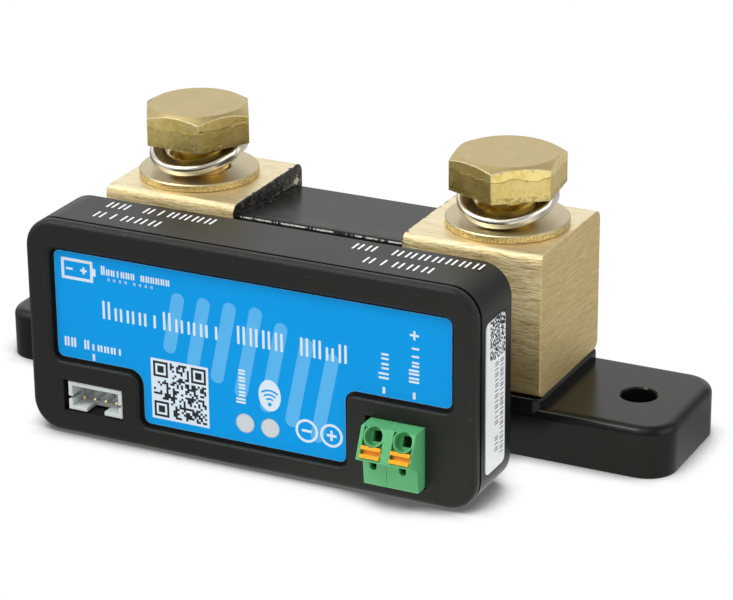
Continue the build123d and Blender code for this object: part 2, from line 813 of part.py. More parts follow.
def make_clamp(x):
    """Bent strip spring behind one push lever."""
    with BuildPart() as clamp:
        with BuildSketch(side_at(x - spring_w / 2)) as clamp_section:
            with BuildLine() as clamp_line:
                Polyline(
                    (tip_y + pad_y - 0.7 * slope_y, tip_z + pad_z - 0.7 * slope_z),
                    (tip_y + pad_y + 1.3 * slope_y, tip_z + pad_z + 1.3 * slope_z),
                    (chamber_y1 - 2.4, chamber_z1 - 0.6),
                    (chamber_y1 - 0.6, chamber_z1 - 1.6),
                    (chamber_y1 - 0.6, chamber_z0 + 1.0),
                )
                offset(amount=spring_t / 2, side=Side.BOTH)
            make_face()
        extrude(amount=spring_w)
    return clamp


save(make_clamp(pole_x[0]), "aux_clamp")
save(make_clamp(pole_x[1]), "battery_clamp")

with BuildPart() as terminal_pins:
    with BuildSketch(front_at(board_back_y + 1.0)) as term_pin_sections:
        for x in pole_x:
            with Locations((x, 5.4), (x, 10.4)):
                Circle(0.5)
    extrude(amount=board_back_y + 1.0 - chamber_y1)
save(terminal_pins, "terminal_pins")


# ---------------------------------------------------------------- board components
def make_box(x, z, w, h, t, edge):
    """Moulded component seated on the front of the board."""
    with BuildPart() as component:
        with BuildSketch(front_at(board_front_y)) as component_outline:
            with Locations((x, z)):
                Rectangle(w, h)
        extrude(amount=t)
        chamfer(component.faces().sort_by(Axis.Y)[0].edges(), edge)
    return component


save(make_box(2.0, 24.0, 11.0, 9.0, 1.9, 0.2), "radio_module")
save(make_box(-8.5, 20.0, 7.0, 7.0, 0.9, 0.1), "microcontroller")
save(make_box(11.5, 16.5, 5.0, 4.0, 1.5, 0.15), "amplifier")
save(make_box(-29.0, 17.0, 5.6, 5.6, 2.6, 0.5), "inductor")
save(make_box(30.0, 18.0, 4.3, 7.3, 2.8, 0.2), "capacitor")
save(make_box(window_x[0], window_z, 1.6, 0.8, 0.7, 0.1), "warning_lamp")
save(make_box(window_x[1], window_z, 1.6, 0.8, 0.7, 0.1), "link_lamp")

with BuildPart() as light_guides:
    with BuildSketch(front_at(board_front_y - 0.9)) as guide_roots:
        with Locations(*[(x, window_z) for x in window_x]):
            Circle(window_r + 0.35)
    extrude(amount=board_front_y - 0.9 - seam_y - plug_depth - 0.03)
    with BuildSketch(front_at(board_front_y - 0.9)) as guide_rods:
        with Locations(*[(x, window_z) for x in window_x]):
            Circle(window_r - 0.05)
    extrude(amount=board_front_y - 0.9 - label_front_y)
save(light_guides, "light_guides")


# ---------------------------------------------------------------- bolts
def make_bolt(x, head_z, turn, chamfer_deg):
    """Hexagon head M10 bolt with a helical thread."""
    with BuildPart() as bolt:
        with BuildSketch(Plane.XY.offset(head_z)) as hexagon:
            with Locations((x, 0)):
                RegularPolygon(head_af / 2, 6, major_radius=False, rotation=turn)
        extrude(amount=head_h)
        corner_r = head_af / math.sqrt(3) + 0.5
        drop = (corner_r - head_top_r) * math.tan(math.radians(chamfer_deg))
        with BuildSketch(Plane(origin=(x, 0, head_z + head_h), x_dir=(1, 0, 0), z_dir=(0, -1, 0))):
            with BuildLine():
                Polyline(
                    (head_top_r, 0), (corner_r, -drop), (corner_r, 1.0), (head_top_r, 1.0),
                    close=True,
                )
            make_face()
        revolve(axis=Axis((x, 0, 0), (0, 0, 1)), mode=Mode.SUBTRACT)
        with BuildSketch(Plane.XY.offset(head_z)) as core:
            with Locations((x, 0)):
                Circle(bolt_core_r)
        extrude(amount=-bolt_length)
        with BuildSketch(Plane.XY.offset(head_z)) as neck:
            with Locations((x, 0)):
                Circle(bolt_thread_r)
        extrude(amount=-1.6)
        thread_height = bolt_length - 1.6 - 2.4
        with BuildLine(mode=Mode.PRIVATE) as helix_line:
            Helix(
                bolt_pitch, thread_height, bolt_core_r,
                center=(x, 0, head_z - bolt_length + 1.2),
            )
        helix_path = helix_line.line
        with BuildSketch(
            Plane(origin=helix_path @ 0, x_dir=(1, 0, 0), z_dir=helix_path % 0)
        ) as ridge:
            with BuildLine():
                Polyline(
                    (-0.12, -0.62), (-0.12, 0.62), (bolt_thread_r - bolt_core_r, 0.1),
                    (bolt_thread_r - bolt_core_r, -0.1), close=True,
                )
            make_face()
        sweep(path=helix_path, is_frenet=True)
        chamfer(bolt.faces().filter_by(Axis.Z).sort_by(Axis.Z)[0].edges(), 0.6)
    return bolt


left_bolt = make_bolt(-stud_x, left_head_z, left_head_turn, left_chamfer_deg)
save(left_bolt, "left_bolt")
right_bolt = make_bolt(stud_x, right_head_z, right_head_turn, right_chamfer_deg)
save(right_bolt, "right_bolt")


def make_flat_washer(x):
    with BuildPart() as washer:
        with BuildSketch(Plane.XY.offset(block_top)) as ring:
            with Locations((x, 0)):
                Circle(flat_washer_r)
                Circle(flat_washer_hole_r, mode=Mode.SUBTRACT)
        extrude(amount=flat_washer_t)
        chamfer(washer.faces().sort_by(Axis.Z)[-1].edges(), 0.2)
        chamfer(washer.faces().sort_by(Axis.Z)[0].edges(), 0.15)
    return washer


save(make_flat_washer(-stud_x), "left_flat_washer")
save(make_flat_washer(stud_x), "right_flat_washer")


def make_spring_washer(x, head_z, base_z, tilt, high_deg):
    """Split washer leaning open under the bolt head, its split at the back right."""
    top_limit = head_z - spring_clear - spring_washer_t
    mid_r = (spring_washer_r + spring_washer_hole_r) / 2
    points = []
    for step in range(spring_steps + 1):
        share = step / spring_steps
        turn = spring_start_deg + share * spring_sweep_deg
        lean = tilt * math.cos(math.radians(turn - high_deg))
        free_z = base_z + lean + spring_rise * share
        underside = (free_z + top_limit - math.hypot(free_z - top_limit, spring_ease)) / 2
        points.append((
            x + mid_r * math.cos(math.radians(turn)),
            mid_r * math.sin(math.radians(turn)),
            underside + spring_washer_t / 2,
        ))
    start = math.radians(spring_start_deg)
    with BuildPart() as washer:
        with BuildLine() as coil:
            Spline(*points)
        with BuildSketch(
            Plane(
                origin=points[0],
                x_dir=(math.cos(start), math.sin(start), 0),
                z_dir=(-math.sin(start), math.cos(start), 0),
            )
        ) as wire:
            RectangleRounded(
                spring_washer_r - spring_washer_hole_r, spring_washer_t, spring_edge_r
            )
        sweep(path=coil.line, binormal=(0, 0, 1))
    return washer


left_spring_washer = make_spring_washer(
    -stud_x, left_head_z, left_spring_z, left_spring_tilt, left_spring_high_deg
)
save(left_spring_washer, "left_spring_washer")
right_spring_washer = make_spring_washer(
    stud_x, right_head_z, right_spring_z, right_spring_tilt, right_spring_high_deg
)
save(right_spring_washer, "right_spring_washer")
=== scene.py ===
import math
import random

import bmesh
import bpy
from mathutils import Matrix, Vector


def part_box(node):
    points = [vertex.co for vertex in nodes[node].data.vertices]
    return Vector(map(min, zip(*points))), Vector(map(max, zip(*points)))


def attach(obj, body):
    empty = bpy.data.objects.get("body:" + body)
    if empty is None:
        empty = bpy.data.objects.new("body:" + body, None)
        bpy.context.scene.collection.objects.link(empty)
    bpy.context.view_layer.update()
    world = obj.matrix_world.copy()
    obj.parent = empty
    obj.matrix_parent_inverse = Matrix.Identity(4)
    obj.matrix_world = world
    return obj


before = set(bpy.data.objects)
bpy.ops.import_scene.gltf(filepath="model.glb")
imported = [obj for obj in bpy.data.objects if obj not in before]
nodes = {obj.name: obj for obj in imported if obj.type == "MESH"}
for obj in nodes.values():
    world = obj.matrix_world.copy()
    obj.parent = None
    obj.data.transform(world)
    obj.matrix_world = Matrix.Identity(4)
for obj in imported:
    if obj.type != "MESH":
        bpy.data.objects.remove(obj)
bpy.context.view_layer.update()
MM = 0.001


# ------------------------------------------------------------------ node material kit
class Graph:
    """A node material written as short calls; every value is a socket or a number."""

    def __init__(self, name):
        self.mat = bpy.data.materials.new(name)
        self.mat.use_nodes = True
        self.tree = self.mat.node_tree
        self.tree.nodes.clear()
        coords = self.tree.nodes.new("ShaderNodeTexCoord")
        self.normal = coords.outputs["Normal"]
        self.mm = self.vmath("MULTIPLY", coords.outputs["Object"], (1000.0, 1000.0, 1000.0))
        self.x, self.y, self.z = self.split(self.mm)
        self.nx, self.ny, self.nz = self.split(self.normal)

    def put(self, socket, value):
        if isinstance(value, bpy.types.NodeSocket):
            self.tree.links.new(value, socket)
        elif isinstance(value, tuple) and len(value) == 3 and socket.type == "RGBA":
            socket.default_value = (*value, 1.0)
        else:
            socket.default_value = value

    def split(self, vector):
        node = self.tree.nodes.new("ShaderNodeSeparateXYZ")
        self.put(node.inputs[0], vector)
        return node.outputs[0], node.outputs[1], node.outputs[2]

    def join(self, x, y, z):
        node = self.tree.nodes.new("ShaderNodeCombineXYZ")
        for socket, value in zip(node.inputs, (x, y, z)):
            self.put(socket, value)
        return node.outputs[0]

    def math(self, operation, a, b=0.0):
        node = self.tree.nodes.new("ShaderNodeMath")
        node.operation = operation
        self.put(node.inputs[0], a)
        self.put(node.inputs[1], b)
        return node.outputs[0]

    def add(self, a, b):
        return self.math("ADD", a, b)

    def sub(self, a, b):
        return self.math("SUBTRACT", a, b)

    def mul(self, a, b):
        return self.math("MULTIPLY", a, b)

    def absolute(self, a):
        return self.math("ABSOLUTE", a)

    def vmath(self, operation, a, b=(0.0, 0.0, 0.0)):
        node = self.tree.nodes.new("ShaderNodeVectorMath")
        node.operation = operation
        self.put(node.inputs[0], a)
        self.put(node.inputs[1], b)
        return node.outputs["Value" if operation in ("LENGTH", "DOT_PRODUCT") else "Vector"]

    def scaled(self, sx, sy, sz):
        """Millimetre coordinates stretched per axis, so a noise turns into lines."""
        return self.vmath("MULTIPLY", self.mm, (sx, sy, sz))

    def noise(self, vector, scale=1.0, detail=3.0, rough=0.5, distort=0.0):
        node = self.tree.nodes.new("ShaderNodeTexNoise")
        self.put(node.inputs["Vector"], vector)
        self.put(node.inputs["Scale"], scale)
        self.put(node.inputs["Detail"], detail)
        self.put(node.inputs["Roughness"], rough)
        self.put(node.inputs["Distortion"], distort)
        return node.outputs[0]

    def cells(self, vector, scale=1.0):
        node = self.tree.nodes.new("ShaderNodeTexVoronoi")
        self.put(node.inputs["Vector"], vector)
        self.put(node.inputs["Scale"], scale)
        return node.outputs[0]

    def step(self, value, low, high):
        """Smooth change from 0 to 1 while value goes from low to high."""
        node = self.tree.nodes.new("ShaderNodeMapRange")
        node.interpolation_type = "SMOOTHSTEP"
        for key, number in (("Value", value), ("From Min", low), ("From Max", high)):
            self.put(node.inputs[key], number)
        return node.outputs[0]

    def mix(self, factor, a, b):
        node = self.tree.nodes.new("ShaderNodeMix")
        node.data_type = "RGBA"
        self.put(node.inputs["Factor"], factor)
        self.put(node.inputs[6], a)
        self.put(node.inputs[7], b)
        return node.outputs[2]

    def blend(self, factor, a, b):
        node = self.tree.nodes.new("ShaderNodeMix")
        node.data_type = "FLOAT"
        self.put(node.inputs["Factor"], factor)
        self.put(node.inputs[2], a)
        self.put(node.inputs[3], b)
        return node.outputs[0]

    def bump(self, height, distance_mm, strength=1.0, under=None):
        node = self.tree.nodes.new("ShaderNodeBump")
        self.put(node.inputs["Strength"], strength)
        self.put(node.inputs["Distance"], distance_mm * MM)
        self.put(node.inputs["Height"], height)
        if under is not None:
            self.put(node.inputs["Normal"], under)
        return node.outputs[0]

    def rounded(self, radius_mm):
        """Normal as if the edges had this radius."""
        node = self.tree.nodes.new("ShaderNodeBevel")
        node.samples = 4
        self.put(node.inputs["Radius"], radius_mm * MM)
        return node.outputs[0]

    def edges(self, radius_mm, low=0.02, high=0.25):
        """1 along sharp edges, 0 on the faces."""
        geometry = self.tree.nodes.new("ShaderNodeNewGeometry")
        dot = self.vmath("DOT_PRODUCT", self.rounded(radius_mm), geometry.outputs["Normal"])
        return self.step(self.sub(1.0, dot), low, high)

    def done(self, color, rough, metal=0.0, normal=None, **extra):
        shader = self.tree.nodes.new("ShaderNodeBsdfPrincipled")
        out = self.tree.nodes.new("ShaderNodeOutputMaterial")
        self.put(shader.inputs["Base Color"], color)
        self.put(shader.inputs["Roughness"], rough)
        self.put(shader.inputs["Metallic"], metal)
        if normal is not None:
            self.put(shader.inputs["Normal"], normal)
        for key, value in extra.items():
            self.put(shader.inputs[key.replace("_", " ")], value)
        self.tree.links.new(shader.outputs[0], out.inputs[0])
        return self.mat


# ------------------------------------------------------------------ materials
# millimetres in the CAD frame
BOLT_X = 28.0
HEAD_UNDERSIDE_Z = 40.0
INNER_FACE_X = 15.0
CHIP_Y, CHIP_Z = 9.8, 31.3
BRASS_DARK = (0.40, 0.29, 0.12)


def black_plastic(name, color, rough, grain, grain_mm, specular, mottle=0.1, dusty=0.35):
    """Moulded black plastic: fine erosion grain in the surface, faint patches in the gloss."""
    g = Graph(name)
    fine = g.noise(g.mm, grain, 2.0, 0.6)
    patches = g.noise(g.mm, 0.12, 3.0, 0.5)
    dust = g.step(g.noise(g.mm, 2.3, 1.0, 0.5), 0.735, 0.80)
    tone = g.mix(patches, tuple(c * 0.85 for c in color), tuple(c * 1.2 for c in color))
    tone = g.mix(g.mul(dust, dusty), tone, (0.16, 0.16, 0.155))
    shine = g.add(g.mul(patches, mottle), rough - mottle / 2)
    relief = g.bump(fine, grain_mm, 1.0)
    return g.done(tone, shine, 0.0, relief, Specular_IOR_Level=specular,
                  Specular_Tint=(0.97, 1.0, 0.90))


def satin_film(name):
    """Smooth dark shrunk cover: flat in the middle, a few shallow waves near the front edge, and a broken
    painted highlight along the front lip.
    """
    g = Graph(name)
    near_front = g.step(g.y, -6.0, -10.2)
    folds = g.noise(g.scaled(0.16, 0.55, 0.3), 1.0, 2.0, 0.5, 1.2)
    small = g.noise(g.scaled(1.3, 1.3, 1.3), 1.0, 3.0, 0.6)
    ragged = g.noise(g.scaled(0.9, 0.2, 0.9), 1.0, 3.0, 0.7)
    relief = g.bump(small, 0.012, 0.6, g.bump(g.mul(folds, near_front), 0.30, 0.6))
    relief = g.bump(g.mul(ragged, g.step(g.y, -10.2, -10.9)), 0.50, 0.8, relief)
    tone = g.mix(folds, (0.014, 0.0145, 0.012), (0.021, 0.0217, 0.018))
    # painted highlight: a broken pale line along the front lip of the cover
    lip_highlight = g.mul(g.step(g.y, -10.80, -10.86), g.mul(g.step(g.y, -10.99, -10.93), g.step(g.z, 31.6, 31.9)))
    broken = g.step(g.noise(g.scaled(0.55, 0.2, 0.3), 1.0, 3.0, 0.75), 0.40, 0.50)
    tone = g.mix(g.mul(g.mul(lip_highlight, broken), 0.9), tone, (0.70, 0.70, 0.66))
    return g.done(tone, g.add(g.mul(small, 0.10), 0.24), 0.0, relief, Specular_IOR_Level=0.075,
                  Specular_Tint=(0.97, 1.0, 0.92))


def sawn_brass(name, inner_sign):
    """Sawn brass block: pale fine lines on a top painted paler as the lit face, coarse wavy saw lines on the
    front with painted shade in the furrows and low down and painted highlights on the crests, fine close
    lines on ends painted darker as shaded faces, and a dark bonding coat with bare flecks on the face at
    the resistor, its foot near-black from compound and painted shade."""
    g = Graph(name)
    top = g.step(g.nz, 0.55, 0.95)
    end = g.step(g.absolute(g.nx), 0.6, 0.8)
    wander = g.sub(g.noise(g.scaled(0.22, 0.09, 0.22), 1.0, 2.0), 0.5)
    jitter = g.sub(g.noise(g.scaled(0.8, 0.5, 0.8), 1.0, 2.0), 0.5)
    wave_z = g.add(g.z, g.add(g.mul(wander, 0.9), g.mul(jitter, 0.16)))
    saw = g.noise(g.join(g.mul(g.x, 0.055), g.mul(g.y, 0.4), wave_z), 3.6, 4.0, 0.70)
    saw_fine = g.noise(g.join(g.mul(g.x, 0.09), g.mul(g.y, 0.4), wave_z), 9.0, 3.0, 0.6)
    front_lines = g.blend(0.40, saw, saw_fine)
    top_lines = g.noise(g.join(g.mul(g.x, 0.07), g.add(g.y, g.mul(wander, 0.8)), g.z), 3.6, 4.0, 0.62)
    tilted = g.add(g.z, g.mul(g.y, 0.05))
    end_lines = g.noise(g.join(g.x, g.mul(g.y, 0.045), tilted), 6.5, 3.0, 0.65)
    end_wide = g.noise(g.join(g.x, g.mul(g.y, 0.04), tilted), 0.55, 2.0, 0.5)
    # front: painted shade in the saw furrows and painted highlights on the crests
    crest_highlight = g.step(front_lines, 0.52, 0.60)
    # painted shade: the lower front, shaded by the housing, gets deeper furrows and a darker tone
    low_front_shade = g.step(g.z, 29.0, 12.0)
    furrow_shade_depth = g.add(0.65, g.mul(low_front_shade, 0.5))
    furrow_shade = g.math("MINIMUM", 1.0, g.mul(g.step(front_lines, 0.50, 0.39), furrow_shade_depth))
    front_tone = g.mix(crest_highlight, (0.83, 0.66, 0.33), (1.0, 0.91, 0.62))
    front_tone = g.mix(g.mul(furrow_shade, 0.92), front_tone, (0.20, 0.14, 0.040))
    # top: painted paler as the lit face, with a few straw streaks
    streak = g.step(top_lines, 0.47, 0.33)
    lit_top_tone = g.mix(top_lines, (0.84, 0.71, 0.43), (0.96, 0.87, 0.64))
    lit_top_tone = g.mix(g.mul(streak, 0.75), lit_top_tone, (0.66, 0.52, 0.26))
    # ends: even olive gold, painted darker as the shaded faces
    shaded_end_tone = g.mix(g.step(end_lines, 0.38, 0.62), (0.62, 0.475, 0.20), (0.80, 0.635, 0.31))
    shaded_end_tone = g.mix(g.mul(g.step(end_lines, 0.63, 0.72), 0.7), shaded_end_tone, (0.95, 0.84, 0.58))
    shaded_end_tone = g.mix(g.mul(end_wide, 0.35), shaded_end_tone, (0.66, 0.51, 0.22))
    # painted shade: the front darkens towards the bottom
    front_tone = g.mix(g.mul(low_front_shade, 0.84), front_tone, (0.17, 0.12, 0.035))
    tone = g.mix(end, g.mix(top, front_tone, lit_top_tone), shaded_end_tone)
    stain = g.step(g.noise(g.scaled(0.35, 0.35, 0.35), 1.0, 4.0, 0.6), 0.56, 0.72)
    tone = g.mix(g.mul(stain, 0.16), tone, BRASS_DARK)
    specks = g.step(g.noise(g.mm, 1.7, 2.0, 0.6), 0.70, 0.76)
    tone = g.mix(g.mul(specks, 0.35), tone, (0.30, 0.22, 0.10))
    height = g.blend(end, g.blend(top, front_lines, g.mul(top_lines, 0.22)), g.mul(end_lines, 0.30))
    shine = g.add(g.mul(height, 0.10), g.blend(end, 0.42, 0.46))
    front = g.step(g.absolute(g.ny), 0.35, 0.85)
    burr = g.mul(g.edges(0.35), g.step(g.noise(g.mm, 1.6, 3.0, 0.7), 0.42, 0.58))
    tone = g.mix(g.mul(burr, 0.45), tone, (0.45, 0.34, 0.14))
    relief = g.bump(g.mul(burr, -1.0), 0.10, 0.8, g.bump(height, 0.26, 0.9, g.rounded(0.25)))
    # the coated inner face, its ragged upper edge and the black foot, where compound and painted shade darken
    # the joint with the cover
    ragged = g.noise(g.scaled(0.9, 0.9, 0.9), 1.0, 4.0, 0.7)
    reach = g.sub(g.absolute(g.x), INNER_FACE_X)
    spill = g.mul(g.sub(ragged, 0.42), 2.4)
    inner = g.mul(g.step(g.mul(g.nx, inner_sign), 0.5, 0.7), g.step(reach, 0.6, 0.2))
    edge_coat = g.mul(g.step(g.sub(spill, reach), 0.0, 0.08), g.step(g.z, 31.0, 31.6))
    coat = g.math("MAXIMUM", inner, edge_coat)
    flecks = g.noise(g.mm, 1.5, 5.0, 0.75)
    bare = g.mul(g.step(flecks, 0.625, 0.67), inner)
    from_chip = g.add(g.absolute(g.sub(g.y, CHIP_Y)), g.mul(g.absolute(g.sub(g.z, CHIP_Z)), 1.6))
    chip = g.step(g.add(from_chip, g.mul(ragged, 2.0)), 2.1, 1.9)
    bare = g.math("MAXIMUM", bare, g.mul(chip, inner))
    lumps = g.noise(g.mm, 0.9, 4.0, 0.65)
    # near-black foot: bonding compound with painted shade along the joint with the cover
    foot = g.step(g.sub(g.z, g.mul(ragged, 2.2)), 30.0, 29.5)
    coat_tone = g.mix(g.step(lumps, 0.35, 0.65), (0.070, 0.063, 0.045), (0.300, 0.270, 0.200))
    coat_tone = g.mix(g.math("MAXIMUM", foot, edge_coat), coat_tone, (0.006, 0.006, 0.005))
    coat_tone = g.mix(bare, coat_tone, (0.72, 0.64, 0.46))
    tone = g.mix(coat, tone, coat_tone)
    shine = g.blend(coat, shine, 0.34)
    relief = g.bump(g.mul(lumps, coat), 0.45, 0.8, relief)
    bright = g.sub(1.0, g.add(g.mul(front, 0.62), g.mul(end, 0.25)))
    return g.done(tone, shine, g.mul(bright, g.sub(1.0, coat)), relief, Specular_IOR_Level=0.35)


def bonding_black(name):
    """Lumpy black bonding compound with a few bright grains."""
    g = Graph(name)
    lumps = g.noise(g.mm, 1.3, 4.0, 0.7)
    grains = g.step(g.noise(g.mm, 2.6, 2.0, 0.6), 0.70, 0.76)
    tone = g.mix(lumps, (0.004, 0.004, 0.003), (0.020, 0.018, 0.014))
    tone = g.mix(g.mul(grains, 0.6), tone, (0.35, 0.32, 0.26))
    return g.done(tone, g.add(g.mul(lumps, 0.2), 0.30), 0.0, g.bump(lumps, 0.35, 0.9),
                  Specular_IOR_Level=0.12)


def bolt_brass(name, centre_x):
    """Forged hexagon bolt: satin rubbed top, pitted flats, thin painted highlights along the edges, golden
    shank.
    """
    g = Graph(name)
    px = g.sub(g.x, centre_x)
    side = g.step(g.absolute(g.nz), 0.80, 0.45)
    head = g.step(g.z, HEAD_UNDERSIDE_Z - 0.1, HEAD_UNDERSIDE_Z + 0.15)
    blotch = g.noise(g.mm, 0.28, 4.0, 0.6, 0.5)
    pitted = g.noise(g.mm, 1.6, 4.0, 0.70)
    scratch = g.noise(g.join(g.mul(px, 0.30), g.mul(g.y, 2.4), g.mul(g.z, 0.6)), 1.3, 3.0, 0.6)
    nicks = g.step(g.cells(g.mm, 0.50), 0.17, 0.08)
    tone_top = g.mix(blotch, (0.43, 0.335, 0.140), (0.61, 0.485, 0.225))
    tone_top = g.mix(g.mul(g.step(scratch, 0.60, 0.70), 0.3), tone_top, (0.80, 0.68, 0.42))
    tone_side = g.mix(g.step(g.blend(0.5, blotch, pitted), 0.36, 0.62), (0.80, 0.60, 0.17), (1.0, 0.84, 0.36))
    tone = g.mix(g.mul(side, head), tone_top, tone_side)
    tone = g.mix(g.mul(g.mul(nicks, side), 0.45), tone, (0.34, 0.24, 0.08))
    tone = g.mix(g.sub(1.0, head), tone, (0.95, 0.70, 0.17))
    # painted highlight: pale, less metallic colour along the edges
    edge = g.mul(g.edges(0.32, 0.01, 0.10), g.step(g.noise(g.mm, 1.1, 2.0), 0.30, 0.48))
    tone = g.mix(g.mul(edge, 0.85), tone, (1.0, 0.93, 0.72))
    # darker broken band along the lowest millimetre of the head
    head_foot_band = g.mul(g.step(g.z, HEAD_UNDERSIDE_Z + 1.25, HEAD_UNDERSIDE_Z + 1.0),
                 g.step(g.noise(g.mm, 1.8, 3.0, 0.7), 0.46, 0.58))
    tone = g.mix(g.mul(g.mul(head_foot_band, head), 0.55), tone, (0.16, 0.11, 0.04))
    shine = g.add(g.mul(blotch, 0.14), g.blend(head, 0.22, 0.30))
    wavy = g.mul(g.noise(g.scaled(0.25, 0.25, 0.0), 1.0, 3.0, 0.7), 2.6)
    sheared = g.step(g.add(g.z, wavy), HEAD_UNDERSIDE_Z + 5.1, HEAD_UNDERSIDE_Z + 5.25)
    tone = g.mix(g.mul(g.mul(g.sub(1.0, sheared), side), g.mul(head, 0.35)), tone, (0.42, 0.31, 0.10))
    height = g.add(g.add(g.mul(pitted, g.mul(side, 0.30)), g.mul(scratch, 0.12)), g.mul(blotch, 0.5))
    height = g.add(height, g.mul(g.mul(sheared, side), 1.2))
    height = g.sub(height, g.mul(g.mul(nicks, side), 0.4))
    skin = g.bump(g.noise(g.mm, 3.0, 3.0, 0.6), 0.03, 0.6, g.rounded(0.30))
    relief = g.bump(g.mul(height, head), 0.14, 0.7, skin)
    return g.done(tone, shine, g.sub(1.0, g.mul(edge, 0.75)), relief)


def turned_metal(name, color, rough, centre_x, rim=None, grain=0.02):
    """Metal with fine circular turning lines; rim, if given, is the colour of a rough outer edge."""
    g = Graph(name)
    px = g.sub(g.x, centre_x)
    radius = g.vmath("LENGTH", g.join(px, g.y, 0.0))
    rings = g.noise(g.join(radius, g.mul(g.z, 2.0), 0.0), 6.0, 3.0, 0.6)
    patches = g.noise(g.mm, 0.35, 3.0, 0.55)
    side = g.step(g.absolute(g.nz), 0.8, 0.5)
    tone = g.mix(patches, tuple(c * 0.88 for c in color), color)
    shine = g.add(g.mul(patches, 0.10), rough - 0.05)
    relief = g.bump(rings, grain, 0.6, g.rounded(0.15))
    if rim is not None:
        rough_rim = g.noise(g.mm, 3.2, 4.0, 0.70)
        rim_tone = g.mix(g.step(rough_rim, 0.36, 0.60), tuple(c * 0.50 for c in rim), rim)
        tone = g.mix(side, tone, rim_tone)
        shine = g.blend(side, shine, 0.34)
        relief = g.bump(g.mul(rough_rim, side), 0.16, 0.8, relief)
    return g.done(tone, shine, 1.0, relief)


def plain_metal(name, color, rough, drawn=(1.0, 1.0, 1.0), dirt=0.15):
    """Plated or drawn metal with faint lines and dull patches."""
    g = Graph(name)
    lines = g.noise(g.scaled(*drawn), 3.0, 3.0, 0.6)
    patches = g.noise(g.mm, 0.5, 3.0, 0.6)
    tone = g.mix(g.mul(patches, dirt * 2), color, tuple(c * 0.6 for c in color))
    shine = g.add(g.mul(lines, 0.15), rough - 0.07)
    return g.done(tone, shine, 1.0, g.bump(lines, 0.02, 0.6))


def pin_metal(name):
    """Header pins: dull tinned sides, gold-washed tips."""
    g = Graph(name)
    tip = g.step(g.y, -33.2, -34.0)
    patches = g.noise(g.mm, 1.5, 3.0, 0.6)
    tone = g.mix(tip, (0.66, 0.66, 0.62), (0.92, 0.72, 0.30))
    tone = g.mix(g.mul(patches, 0.3), tone, (0.45, 0.40, 0.28))
    return g.done(tone, g.add(g.mul(patches, 0.15), 0.24), 1.0, g.bump(patches, 0.02, 0.5))


def soft_plastic(name, color, rough, light=0.0):
    """Coloured moulded plastic that lets a little light in, with paler edges and a fine surface."""
    g = Graph(name)
    patches = g.noise(g.mm, 0.35, 3.0, 0.55)
    fine = g.noise(g.mm, 4.0, 2.0, 0.5)
    dark = tuple(c * 0.88 for c in color)
    pale = tuple(min(1.0, c * 1.15 + 0.02) for c in color)
    tone = g.mix(patches, dark, color)
    tone = g.mix(g.mul(g.edges(0.14, 0.03, 0.4), 0.5), tone, pale)
    extra = {"Specular_IOR_Level": 0.35}
    if light > 0.0:
        extra["Subsurface_Weight"] = light
        extra["Subsurface_Radius"] = color
        extra["Subsurface_Scale"] = 0.9 * MM
    return g.done(tone, g.add(g.mul(patches, 0.12), rough - 0.06), 0.0, g.bump(fine, 0.02, 0.6), **extra)


def label_film(name, color, pale, rough, specular):
    """Printed plastic label: even ink under a film, with a broken painted highlight along the cut edge."""
    g = Graph(name)
    cloud = g.noise(g.mm, 0.06, 2.0, 0.5)
    peel = g.noise(g.mm, 0.9, 2.0, 0.5)
    tone = g.mix(cloud, tuple(c * 0.95 for c in color), tuple(min(1.0, c * 1.05) for c in color))
    dots = g.step(g.noise(g.mm, 2.1, 1.0), 0.76, 0.82)
    tone = g.mix(g.mul(dots, 0.25), tone, pale)
    # painted highlight: broken pale line along the label's cut edge
    rim = g.mul(g.edges(0.16, 0.03, 0.20), g.step(g.noise(g.mm, 0.8, 2.0), 0.25, 0.55))
    tone = g.mix(g.mul(rim, 0.75), tone, pale)
    return g.done(tone, g.add(g.mul(cloud, 0.08), rough), 0.0, g.bump(peel, 0.010, 0.5),
                  Specular_IOR_Level=specular)


def ink(name, color, rough=0.5):
    """Screen-printed ink: slightly uneven cover and edges."""
    g = Graph(name)
    grain = g.noise(g.mm, 3.2, 3.0, 0.6)
    cloud = g.noise(g.mm, 0.4, 2.0, 0.5)
    tone = g.mix(g.mul(cloud, 0.20), color, tuple(c * 0.8 for c in color))
    return g.done(tone, g.add(g.mul(grain, 0.1), rough - 0.05), 0.0, g.bump(grain, 0.01, 0.5),
                  Specular_IOR_Level=0.2)


def board_green(name):
    """Lacquered circuit board with faint copper traces under the green."""
    g = Graph(name)
    tracks = g.step(g.cells(g.scaled(0.5, 1.0, 0.5), 1.0), 0.28, 0.22)
    weave = g.noise(g.scaled(1.0, 1.0, 1.0), 3.0, 2.0)
    tone = g.mix(tracks, (0.010, 0.085, 0.030), (0.03, 0.16, 0.06))
    return g.done(tone, 0.28, 0.0, g.bump(g.add(g.mul(weave, 0.2), tracks), 0.03, 0.6))


cover_black = black_plastic("cover_black", (0.0088, 0.0087, 0.0078), 0.42, 4.2, 0.085, 0.30)
shell_black = black_plastic("shell_black", (0.0080, 0.0080, 0.0071), 0.34, 6.0, 0.022, 0.24, 0.1, 0.12)
base_black = black_plastic("base_black", (0.0062, 0.0063, 0.0052), 0.20, 5.0, 0.012, 0.23, 0.10, 0.08)
screw_black = black_plastic("screw_black", (0.020, 0.020, 0.020), 0.30, 5.0, 0.02, 0.5)
chip_black = black_plastic("chip_black", (0.018, 0.018, 0.019), 0.45, 6.0, 0.03, 0.4)
cover_film = satin_film("cover_film")
bonding = bonding_black("bonding_black")
left_brass = sawn_brass("left_brass", 1.0)
right_brass = sawn_brass("right_brass", -1.0)
left_bolt_brass = bolt_brass("left_bolt_brass", -BOLT_X)
right_bolt_brass = bolt_brass("right_bolt_brass", BOLT_X)
WASHER_FACE = (0.60, 0.52, 0.33)
WASHER_RIM = (0.92, 0.72, 0.34)
